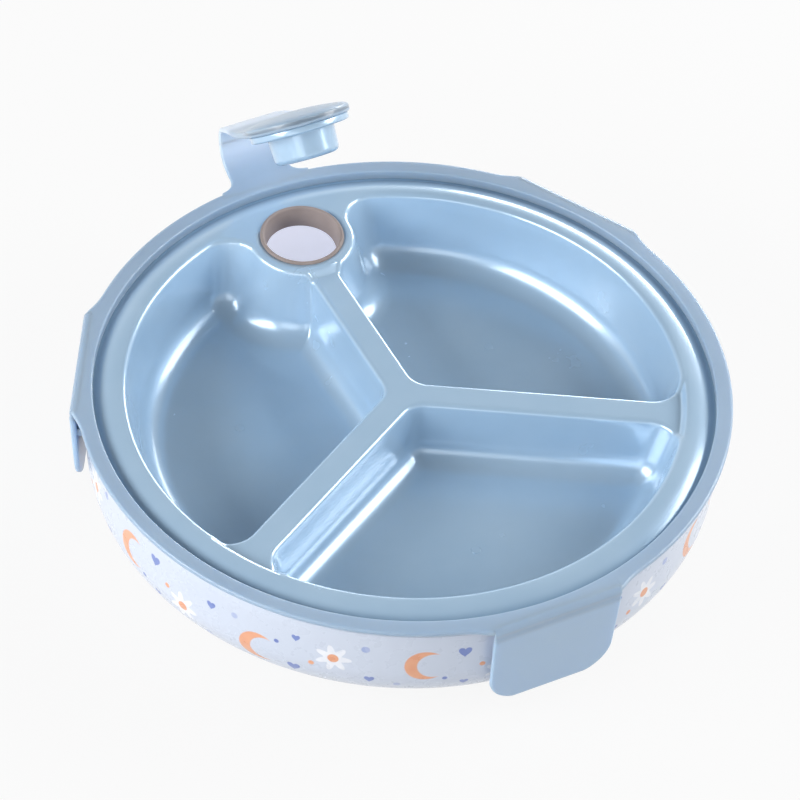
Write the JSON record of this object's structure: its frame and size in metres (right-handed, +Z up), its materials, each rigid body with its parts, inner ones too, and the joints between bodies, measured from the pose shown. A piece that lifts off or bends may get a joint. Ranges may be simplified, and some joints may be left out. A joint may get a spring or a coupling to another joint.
{
  "type": "hot water plate",
  "caption": "Shallow round plate with divided food wells over a closed hot water bowl, held down by a ring with hinged clips, with a filler hole and a fold-over stopper.",
  "frame": {"origin": "on the table, under the middle of the clip ring", "axes": "+Z up, +Y towards the filler hole and the stopper, +X to the right seen from the front clip"},
  "size_m": [0.2, 0.2135, 0.0947],
  "materials": {
    "bowl_plastic": "pale lilac with a small printed pattern",
    "seal_rubber": "matt silicone",
    "tray_plastic": "pearly gloss",
    "grommet_rubber": "matt silicone",
    "clip_plastic": "milky, slightly see-through",
    "plug_plastic": "pearly gloss"
  },
  "bodies": {
    "plate": {"base_bowl": "bowl_plastic", "rim_seal": "seal_rubber", "food_tray": "tray_plastic", "filler_grommet": "grommet_rubber", "clip_ring": "clip_plastic"},
    "front_flap": {"clip_flap_front": "clip_plastic"},
    "right_flap": {"clip_flap_right": "clip_plastic"},
    "left_flap": {"clip_flap_left": "clip_plastic"},
    "strap": {"stopper_strap": "clip_plastic"},
    "cap": {"stopper_cap": "clip_plastic", "stopper_plug": "plug_plastic"}
  },
  "joints": [
    {"name": "front_flap_hinge", "type": "hinge", "parent": "plate", "child": "front_flap", "pos_m": [0, -0.0998, 0.039], "axis": [-1, 0, 0], "range_deg": [0, 100]},
    {"name": "right_flap_hinge", "type": "hinge", "parent": "plate", "child": "right_flap", "pos_m": [0.08643, 0.0499, 0.039], "axis": [0.5, -0.866, 0], "range_deg": [0, 100]},
    {"name": "left_flap_hinge", "type": "hinge", "parent": "plate", "child": "left_flap", "pos_m": [-0.08643, 0.0499, 0.039], "axis": [0.5, 0.866, 0], "range_deg": [0, 100]},
    {"name": "strap_hinge", "type": "hinge", "parent": "plate", "child": "strap", "pos_m": [0, 0.1006, 0.039], "axis": [1, 0, 0], "range_deg": [-43, 20]},
    {"name": "cap_fold", "type": "hinge", "parent": "strap", "child": "cap", "pos_m": [0, 0.10958, 0.05195], "axis": [1, 0, 0], "range_deg": [-40, 86]}
  ],
  "couplings": [
    {"joint": "cap_fold", "follows": "strap_hinge", "ratio": -2}
  ]
}
